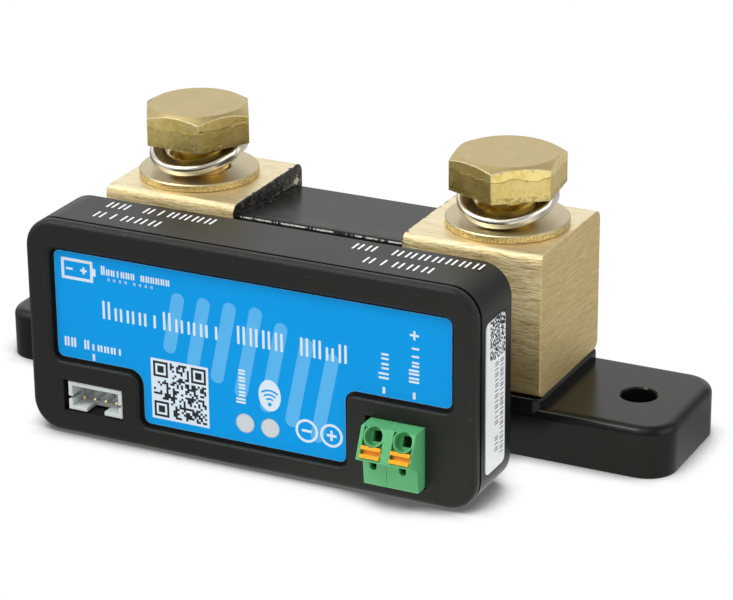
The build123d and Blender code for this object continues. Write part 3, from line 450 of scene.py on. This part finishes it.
NICKEL = (0.84, 0.80, 0.70)
left_flat = turned_metal("left_flat_brass", WASHER_FACE, 0.36, -BOLT_X, WASHER_RIM)
right_flat = turned_metal("right_flat_brass", WASHER_FACE, 0.36, BOLT_X, WASHER_RIM)
left_nickel = turned_metal("left_nickel", NICKEL, 0.22, -BOLT_X, None, 0.010)
right_nickel = turned_metal("right_nickel", NICKEL, 0.22, BOLT_X, None, 0.010)
spacer_brass = plain_metal("spacer_brass", (0.78, 0.60, 0.28), 0.26, (0.3, 3.0, 0.3))
zinc = plain_metal("zinc", (0.62, 0.64, 0.66), 0.32)
manganin = plain_metal("manganin", (0.55, 0.40, 0.30), 0.36, (0.1, 3.0, 3.0))
tin = plain_metal("tin", (0.80, 0.80, 0.78), 0.25, (1.0, 0.2, 1.0))
pins = pin_metal("pin_gold")
spring_metal = plain_metal("spring_metal", (0.60, 0.60, 0.60), 0.28)
shield = plain_metal("shield", (0.72, 0.73, 0.74), 0.30, (0.2, 1.0, 2.0))
nickel_screw = plain_metal("nickel_screw", (0.70, 0.68, 0.64), 0.25)
green_plastic = soft_plastic("green_plastic", (0.13, 0.504, 0.211), 0.36, 0.25)
orange_plastic = soft_plastic("orange_plastic", (1.0, 0.46, 0.018), 0.34, 0.2)
white_plastic = soft_plastic("white_plastic", (0.70, 0.75, 0.76), 0.34, 0.45)
ferrite = soft_plastic("ferrite", (0.05, 0.05, 0.055), 0.55)
yellow_plastic = soft_plastic("yellow_plastic", (0.75, 0.55, 0.10), 0.4)
lamp_glass = soft_plastic("lamp_glass", (0.75, 0.76, 0.70), 0.2, 0.3)
guide_clear = soft_plastic("guide_clear", (0.70, 0.76, 0.80), 0.22, 0.5)
blue_label = label_film("blue_label", (0.0, 0.325, 0.810), (0.45, 0.75, 0.98), 0.30, 0.10)
white_label = label_film("white_label", (0.86, 0.89, 0.91), (0.94, 0.95, 0.97), 0.38, 0.3)
circuit = board_green("circuit_green")

MATERIALS = {
    "base": base_black,
    "left_block": left_brass,
    "right_block": right_brass,
    "lower_strip": manganin,
    "middle_strip": manganin,
    "upper_strip": manganin,
    "resistor_cover": cover_film,
    "left_block_screws": zinc,
    "right_block_screws": zinc,
    "left_sense_spacer": spacer_brass,
    "right_sense_spacer": spacer_brass,
    "left_sense_screw": nickel_screw,
    "right_sense_screw": nickel_screw,
    "rear_shell": shell_black,
    "front_cover": cover_black,
    "cover_screws": screw_black,
    "front_label": blue_label,
    "side_label": white_label,
    "circuit_board": circuit,
    "header_body": white_plastic,
    "header_pins": pins,
    "terminal_body": green_plastic,
    "aux_clamp": spring_metal,
    "battery_clamp": spring_metal,
    "terminal_pins": tin,
    "radio_module": shield,
    "microcontroller": chip_black,
    "amplifier": chip_black,
    "inductor": ferrite,
    "capacitor": yellow_plastic,
    "warning_lamp": lamp_glass,
    "link_lamp": lamp_glass,
    "light_guides": guide_clear,
    "left_flat_washer": left_flat,
    "left_spring_washer": left_nickel,
    "left_bolt": left_bolt_brass,
    "right_flat_washer": right_flat,
    "right_spring_washer": right_nickel,
    "right_bolt": right_bolt_brass,
    "aux_lever": orange_plastic,
    "battery_lever": orange_plastic,
}


def paint(obj, material):
    obj.data.materials.clear()
    obj.data.materials.append(material)


for node_name, node_obj in nodes.items():
    paint(node_obj, MATERIALS[node_name])


def add_piece(name, bm, material, body):
    """Turn a finished bmesh into a piece that rides on a body."""
    bmesh.ops.recalc_face_normals(bm, faces=bm.faces)
    mesh = bpy.data.meshes.new(name)
    bm.to_mesh(mesh)
    bm.free()
    obj = bpy.data.objects.new(name, mesh)
    bpy.context.scene.collection.objects.link(obj)
    paint(obj, material)
    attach(obj, body)
    return obj


# ------------------------------------------------------------------ flat printed shapes
def bar(cx, cy, width, height, radius=0.0, turn=0.0, steps=5):
    """Rounded rectangle as a loop of points about its centre, turned by degrees."""
    radius = min(radius, width / 2 - 1e-4, height / 2 - 1e-4)
    hw, hh = width / 2 - radius, height / 2 - radius
    c, s = math.cos(math.radians(turn)), math.sin(math.radians(turn))
    loop = []
    for corner, (sx, sy) in enumerate(((1, 1), (-1, 1), (-1, -1), (1, -1))):
        count = steps if radius > 0 else 1
        for i in range(count):
            a = math.radians(90 * corner + (90 * i / max(1, count - 1) if radius > 0 else 45))
            px = sx * hw + (radius * math.cos(a) if radius > 0 else 0.0)
            py = sy * hh + (radius * math.sin(a) if radius > 0 else 0.0)
            loop.append((cx + px * c - py * s, cy + px * s + py * c))
    return loop


def plus(cx, cy, size, width):
    """Plus sign as one loop."""
    a, b = size / 2, width / 2
    corners = ((b, b), (b, a), (-b, a), (-b, b), (-a, b), (-a, -b),
               (-b, -b), (-b, -a), (b, -a), (b, -b), (a, -b), (a, b))
    return [(cx + x, cy + y) for x, y in corners]


def disc(cx, cy, rx, ry, steps=40):
    turns = [2 * math.pi * i / steps for i in range(steps)]
    return [(cx + rx * math.cos(a), cy + ry * math.sin(a)) for a in turns]


def arc_band(cx, cy, radius, width, start, end, steps=20):
    """Part of a ring as one loop, angles in degrees."""
    angles = [math.radians(start + (end - start) * i / steps) for i in range(steps + 1)]
    wide, narrow = radius + width / 2, radius - width / 2
    outer = [(cx + wide * math.cos(a), cy + wide * math.sin(a)) for a in angles]
    inner = [(cx + narrow * math.cos(a), cy + narrow * math.sin(a)) for a in angles]
    return outer + inner[::-1]


def print_piece(name, loops, place, rise_mm, material):
    """Flat shapes raised a hair from a surface of the housing; place(u, v, w) gives the point in
    millimetres."""
    bm = bmesh.new()
    for loop in loops:
        low = [bm.verts.new(Vector(place(u, v, 0.0)) * MM) for u, v in loop]
        high = [bm.verts.new(Vector(place(u, v, rise_mm)) * MM) for u, v in loop]
        bm.faces.new(low[::-1])
        bm.faces.new(high)
        count = len(loop)
        for i in range(count):
            j = (i + 1) % count
            bm.faces.new((low[i], low[j], high[j], high[i]))
    add_piece(name, bm, material, "shunt")


def tally(pattern, start, pitch, low, cap, weight, small=0.7, upright=True):
    """A row of plain upright strokes standing in for words: H pair, I single, h and i the short ones,
    a space leaves a gap. Returns loops in (along, up) order, or (-up, along) when not upright."""
    loops = []
    at = start
    for mark in pattern:
        tall = cap * (1.0 if mark in "HI" else small)
        if mark in "Hh":
            offsets = (-pitch * 0.22, pitch * 0.22)
        elif mark in "Ii":
            offsets = (0.0,)
        else:
            offsets = ()
        for offset in offsets:
            along, up = at + pitch / 2 + offset, low + tall / 2
            if upright:
                loops.append(bar(along, up, weight, tall, weight * 0.35, 0.0, 3))
            else:
                loops.append(bar(-up, along, tall, weight, weight * 0.35, 0.0, 3))
        at += pitch
    return loops


LABEL_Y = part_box("front_label")[0].y / MM
TOP_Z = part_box("rear_shell")[1].z / MM
SIDE_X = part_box("side_label")[1].x / MM


def on_label(u, v, w):
    return (u, LABEL_Y - w, v)


def on_top(u, v, w):
    return (u, v, TOP_Z + w)


def on_side(u, v, w):
    return (SIDE_X + w, u, v)


white_ink = ink("white_ink", (0.72, 0.84, 0.94))
bright_ink = ink("bright_ink", (0.90, 0.90, 0.90))
haze_ink = ink("haze_ink", (0.10, 0.475, 0.90), 0.40)
dark_ink = ink("dark_ink", (0.020, 0.022, 0.026))
grey_ink = ink("grey_ink", (0.20, 0.21, 0.22))

# broad pale stripes behind the print: lower and upper end of each
STRIPE_ENDS = ((17.0, 27.6), (15.2, 27.6), (13.4, 27.6), (11.6, 27.6), (10.0, 25.8), (8.4, 24.0), (6.6, 22.2))
STRIPE_FIRST_X, STRIPE_PITCH, STRIPE_WIDTH, STRIPE_TURN = -13.6, 4.4, 2.3, -12.0
stripes = []
for i, (low, high) in enumerate(STRIPE_ENDS):
    centre_x = STRIPE_FIRST_X + STRIPE_PITCH * i
    stripes.append(bar(centre_x, (low + high) / 2, STRIPE_WIDTH, high - low, 1.1, STRIPE_TURN, 6))
print_piece("label_stripes", stripes, on_label, 0.010, haze_ink)

# battery sign, name row and title row
sign = [
    bar(-30.9, 30.0, 5.8, 0.5, 0.2), bar(-30.9, 26.9, 5.8, 0.5, 0.2),
    bar(-33.55, 28.45, 0.5, 2.7, 0.1), bar(-28.25, 28.45, 0.5, 2.7, 0.1),
    bar(-27.75, 28.45, 0.5, 1.3, 0.1),
    bar(-32.3, 28.45, 1.2, 0.35), plus(-29.7, 28.45, 1.2, 0.35),
]
words = tally("Hhhihhh hhhhhh", -26.6, 0.90, 28.35, 1.55, 0.27)
words += tally("H H H H  H H H H", -25.4, 0.52, 27.45, 0.5, 0.10)
words += tally("HhhhiHhhhi HHHH HHhH", -26.9, 2.20, 20.85, 3.10, 0.42, 0.72)
words += tally("HH Hihhhi", -34.0, 1.22, 15.0, 1.65, 0.36)
words += [bar(-28.5, 13.85, 0.45, 1.15)]
words += [bar(22.94, 17.7, 0.45, 1.1), bar(28.04, 17.7, 0.45, 1.1)]
words += tally("Hhh", 19.3, 1.6, -23.8, 1.75, 0.34, 0.72, False)
words += tally("HHhii", 19.6, 1.30, -28.9, 1.75, 0.34, 0.72, False)
words += [plus(28.1, 27.6, 1.5, 0.34)]
words += tally("Hhhhh", 10.7, 1.22, 1.05, 1.7, 0.34, 0.72, False)
print_piece("label_sign", sign, on_label, 0.020, white_ink)
print_piece("label_rows", words, on_label, 0.022, white_ink)

# pale oval with a radio-wave sign, and the two polarity rings
WAVES_X, WAVES_Z, STROKE = 3.2, 11.6, 0.33
print_piece("label_oval", [disc(WAVES_X, 13.1, 1.95, 2.65)], on_label, 0.014, white_ink)
waves = [disc(WAVES_X, WAVES_Z, STROKE, STROKE, 16)]
for radius in (0.95, 1.65, 2.35):
    waves.append(arc_band(WAVES_X, WAVES_Z, radius, STROKE, 52, 128, 10))
print_piece("label_waves", waves, on_label, 0.020, blue_label)
MINUS_X, PLUS_X, RING_Z, RING_R, SIGN_SIZE, SIGN_STROKE = 9.6, 13.9, 8.35, 1.75, 1.7, 0.42
rings = []
for ring_x in (MINUS_X, PLUS_X):
    for start in (0, 180):
        rings.append(arc_band(ring_x, RING_Z, RING_R, SIGN_STROKE, start, start + 180, 24))
rings += [bar(MINUS_X, RING_Z, SIGN_SIZE, SIGN_STROKE), plus(PLUS_X, RING_Z, SIGN_SIZE, SIGN_STROKE)]
print_piece("label_polarity", rings, on_label, 0.024, white_ink)


# ------------------------------------------------------------------ block patterns
def blocks(columns, rows, cell, left, low, seed, corners):
    """Loops of a generic square pattern; corners adds nested squares in three corners."""
    draw = random.Random(seed)
    dark = [[draw.random() < 0.48 for _ in range(columns)] for _ in range(rows)]
    if corners:
        size = 7
        for row0, col0 in ((0, 0), (rows - size, 0), (rows - size, columns - size)):
            for r in range(-1, size + 1):
                for c in range(-1, size + 1):
                    if 0 <= row0 + r < rows and 0 <= col0 + c < columns:
                        ring = max(abs(r - 3), abs(c - 3))
                        dark[row0 + r][col0 + c] = ring in (0, 1, 3)
    loops = []
    for r in range(rows):
        c = 0
        while c < columns:
            if not dark[r][c]:
                c += 1
                continue
            first = c
            while c < columns and dark[r][c]:
                c += 1
            x0, x1 = left + first * cell, left + c * cell
            y0, y1 = low + r * cell, low + (r + 1) * cell
            loops.append([(x0, y0), (x1, y0), (x1, y1), (x0, y1)])
    return loops


code_plate = [bar(-12.85, 10.6, 10.35, 10.35, 0.1)]
code_blocks = blocks(25, 25, 0.38, -17.6, 5.85, 11, True)
side_code = blocks(22, 27, 0.25, -30.9, 23.5, 5, False)
print_piece("code_plate", code_plate, on_label, 0.014, white_ink)
print_piece("code_blocks", code_blocks, on_label, 0.022, dark_ink)
print_piece("side_code", side_code, on_side, 0.012, dark_ink)
side_rows = tally("IHIHIIHIHIHHIIHIHHIH", 6.9, 0.80, 25.9, 1.25, 0.20, 0.7, False)
side_rows += tally("HIH  HIIHIHIHIHIH", 8.0, 0.88, 27.8, 1.25, 0.20, 0.7, False)
print_piece("side_rows", side_rows, on_side, 0.012, grey_ink)

# two printed rows at each end of the housing's top
top_rows = tally("HH HIHHHH", -30.7, 2.22, -26.5, 2.35, 0.36)
top_rows += tally("HIHHH", -30.5, 2.50, -31.05, 2.35, 0.36)
top_rows += tally("HH HHHHHHH", 13.0, 2.25, -26.5, 2.35, 0.36)
top_rows += tally("HIHHH", 17.0, 2.45, -31.05, 2.35, 0.36)
print_piece("top_rows", top_rows, on_top, 0.015, bright_ink)


# ------------------------------------------------------------------ bonding beads
def smooth_random(count, every, draw):
    """Random values with soft changes, one new value for each few steps."""
    knots = [draw.random() for _ in range(count // every + 3)]
    values = []
    for i in range(count):
        k, t = divmod(i / every, 1.0)
        t = t * t * (3 - 2 * t)
        values.append(knots[int(k)] * (1 - t) + knots[int(k) + 1] * t)
    return values


def bonding_bead(name, side, seed):
    """Lumpy black compound squeezed out where the cover meets a block."""
    low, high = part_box("resistor_cover")
    face_x = (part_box("left_block")[1].x if side < 0 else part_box("right_block")[0].x) / MM
    draw = random.Random(seed)
    count = 96
    wide = smooth_random(count, 4, draw)
    tall = smooth_random(count, 5, draw)
    grit = [draw.random() for _ in range(count)]
    y0, y1 = low.y / MM + 0.3, high.y / MM - 0.3
    front_z = high.z / MM
    fall = 2.5
    bm = bmesh.new()
    rings = []
    for i in range(count):
        share = i / (count - 1)
        fade = min(1.0, 8 * share, 8 * (1 - share))
        y = y0 + (y1 - y0) * share
        z = front_z - fall * share
        w = (0.35 + 1.15 * wide[i] ** 1.6 + 0.25 * grit[i]) * (0.3 + 0.7 * fade)
        h = (0.20 + 0.55 * tall[i] + 0.15 * grit[-i]) * (0.3 + 0.7 * fade)
        section = ((-0.03, -0.25), (-0.03, h), (0.30 * w, 0.62 * h), (0.68 * w, 0.38 * h),
                   (w, 0.03), (w, -0.25))
        rings.append([bm.verts.new(Vector((face_x - side * dx, y, z + dz)) * MM) for dx, dz in section])
    for first, second in zip(rings, rings[1:]):
        for a in range(len(first)):
            b = (a + 1) % len(first)
            bm.faces.new((first[a], first[b], second[b], second[a]))
    bm.faces.new(rings[0])
    bm.faces.new(rings[-1][::-1])
    bead = add_piece(name, bm, bonding, "shunt")
    for polygon in bead.data.polygons:
        polygon.use_smooth = len(polygon.vertices) == 4


bonding_bead("left_bonding_bead", -1, 3)
bonding_bead("right_bonding_bead", 1, 8)


# ------------------------------------------------------------------ floor, lights, camera
def floor_surface():
    """Pale floor; its mirror image in the metal is a soft grey card, brighter to the front right. To the
    camera it glows white, with a contact shadow painted in from an occlusion test near the object.
    """
    g = Graph("floor_pale")
    tree = g.tree
    ray = tree.nodes.new("ShaderNodeLightPath")
    cloud = g.noise(g.mm, 0.004, 2.0)
    reach = g.vmath("LENGTH", g.join(g.x, g.y, 0.0))
    ux = g.math("DIVIDE", g.x, reach)
    uy = g.math("DIVIDE", g.y, reach)
    front_right = g.step(g.add(g.mul(ux, 0.74), g.mul(uy, -0.67)), 0.55, 0.98)
    back_right = g.step(g.add(g.mul(ux, 0.44), g.mul(uy, 0.90)), 0.30, 0.95)
    front = g.step(g.add(g.mul(ux, -0.44), g.mul(uy, -0.90)), 0.30, 0.98)
    card = g.add(g.add(0.16, g.mul(front_right, 0.85)), g.add(g.mul(back_right, 0.42), g.mul(front, 0.42)))
    # painted shadow: the floor the camera sees darkens near the object by occlusion, not by the lamps
    near = tree.nodes.new("ShaderNodeAmbientOcclusion")
    near.samples = 8
    g.put(near.inputs["Distance"], 7.0 * MM)
    painted_shadow_paper = g.mix(g.step(near.outputs["AO"], 0.36, 0.80), (0.12, 0.12, 0.125), (1.0, 1.0, 1.0))
    painted_shadow_paper = g.mix(g.mul(cloud, 0.01), painted_shadow_paper, (0.98, 0.98, 0.98))
    seen = tree.nodes.new("ShaderNodeEmission")
    g.put(seen.inputs["Color"], painted_shadow_paper)
    mirrored = tree.nodes.new("ShaderNodeEmission")
    g.put(mirrored.inputs["Color"], (1.0, 0.99, 0.97))
    g.put(mirrored.inputs["Strength"], g.blend(ray.outputs["Is Diffuse Ray"], card, 0.95))
    choose = tree.nodes.new("ShaderNodeMixShader")
    g.put(choose.inputs[0], ray.outputs["Is Camera Ray"])
    tree.links.new(mirrored.outputs[0], choose.inputs[1])
    tree.links.new(seen.outputs[0], choose.inputs[2])
    out = tree.nodes.new("ShaderNodeOutputMaterial")
    tree.links.new(choose.outputs[0], out.inputs[0])
    return g.mat


FLOOR_HALF = 3.0
FLOOR_Z = -0.00002
floor_signs = ((-1, -1), (1, -1), (1, 1), (-1, 1))
floor_corners = [(sx * FLOOR_HALF, sy * FLOOR_HALF, FLOOR_Z) for sx, sy in floor_signs]
floor_mesh = bpy.data.meshes.new("floor")
floor_mesh.from_pydata(floor_corners, [], [(0, 1, 2, 3)])
floor = bpy.data.objects.new("floor", floor_mesh)
bpy.context.scene.collection.objects.link(floor)
paint(floor, floor_surface())

# a studio tent as the world: white to the camera, soft boxes in a grey room for everything else
FILL = 0.56
# direction, half angles of the even core and of the outer rim in degrees, strength
SOFT_BOXES = (
    ((-0.41, -0.37, 0.83), 20.0, 46.0, 1.6),
    ((-0.41, -0.40, 0.82), 6.0, 11.0, 14.0),
    ((-0.41, 0.83, 0.37), 22.0, 48.0, 0.75),
    ((0.90, 0.10, 0.42), 14.0, 38.0, 1.5),
    ((-0.93, -0.20, 0.30), 10.0, 30.0, 0.6),
)
world = bpy.data.worlds.new("studio")
world.use_nodes = True
tree = world.node_tree
tree.nodes.clear()
coords = tree.nodes.new("ShaderNodeTexCoord")
total = None
for aim, core, rim, strength in SOFT_BOXES:
    dot = tree.nodes.new("ShaderNodeVectorMath")
    dot.operation = "DOT_PRODUCT"
    tree.links.new(coords.outputs["Generated"], dot.inputs[0])
    dot.inputs[1].default_value = Vector(aim).normalized()
    ramp = tree.nodes.new("ShaderNodeMapRange")
    ramp.interpolation_type = "SMOOTHSTEP"
    tree.links.new(dot.outputs["Value"], ramp.inputs["Value"])
    ramp.inputs["From Min"].default_value = math.cos(math.radians(rim))
    ramp.inputs["From Max"].default_value = math.cos(math.radians(core))
    ramp.inputs["To Max"].default_value = strength
    plus_node = tree.nodes.new("ShaderNodeMath")
    tree.links.new(ramp.outputs[0], plus_node.inputs[0])
    if total is None:
        plus_node.inputs[1].default_value = FILL
    else:
        tree.links.new(total, plus_node.inputs[1])
    total = plus_node.outputs[0]
lit = tree.nodes.new("ShaderNodeBackground")
tree.links.new(total, lit.inputs["Strength"])
plain = tree.nodes.new("ShaderNodeBackground")
path = tree.nodes.new("ShaderNodeLightPath")
pick = tree.nodes.new("ShaderNodeMixShader")
tree.links.new(path.outputs["Is Camera Ray"], pick.inputs[0])
tree.links.new(lit.outputs[0], pick.inputs[1])
tree.links.new(plain.outputs[0], pick.inputs[2])
world_out = tree.nodes.new("ShaderNodeOutputWorld")
tree.links.new(pick.outputs[0], world_out.inputs[0])
bpy.context.scene.world = world

AZIMUTH, ELEVATION, ROLL = math.radians(26.46), math.radians(21.90), math.radians(-0.508)
CAMERA_AT = (0.20563, -0.40747, 0.19936)
LENS_MM, SENSOR_MM = 146.48513, 36.0
level = math.cos(ELEVATION)
back = Vector((math.sin(AZIMUTH) * level, -math.cos(AZIMUTH) * level, math.sin(ELEVATION)))
right = (-back).cross(Vector((0, 0, 1))).normalized()
up = right.cross(-back)
cam_x = right * math.cos(ROLL) + up * math.sin(ROLL)
cam_y = -right * math.sin(ROLL) + up * math.cos(ROLL)
camera_data = bpy.data.cameras.new("camera")
camera_data.sensor_fit = "HORIZONTAL"
camera_data.sensor_width = SENSOR_MM
camera_data.lens = LENS_MM
camera_data.clip_start = 0.01
camera_data.clip_end = 20.0
camera = bpy.data.objects.new("camera", camera_data)
turn = Matrix((cam_x, cam_y, back)).transposed()
camera.matrix_world = Matrix.Translation(CAMERA_AT) @ turn.to_4x4()
bpy.context.scene.collection.objects.link(camera)
bpy.context.scene.camera = camera

settings = bpy.context.scene.view_settings
settings.view_transform = "Standard"
settings.look = "None"
settings.exposure = 0.0
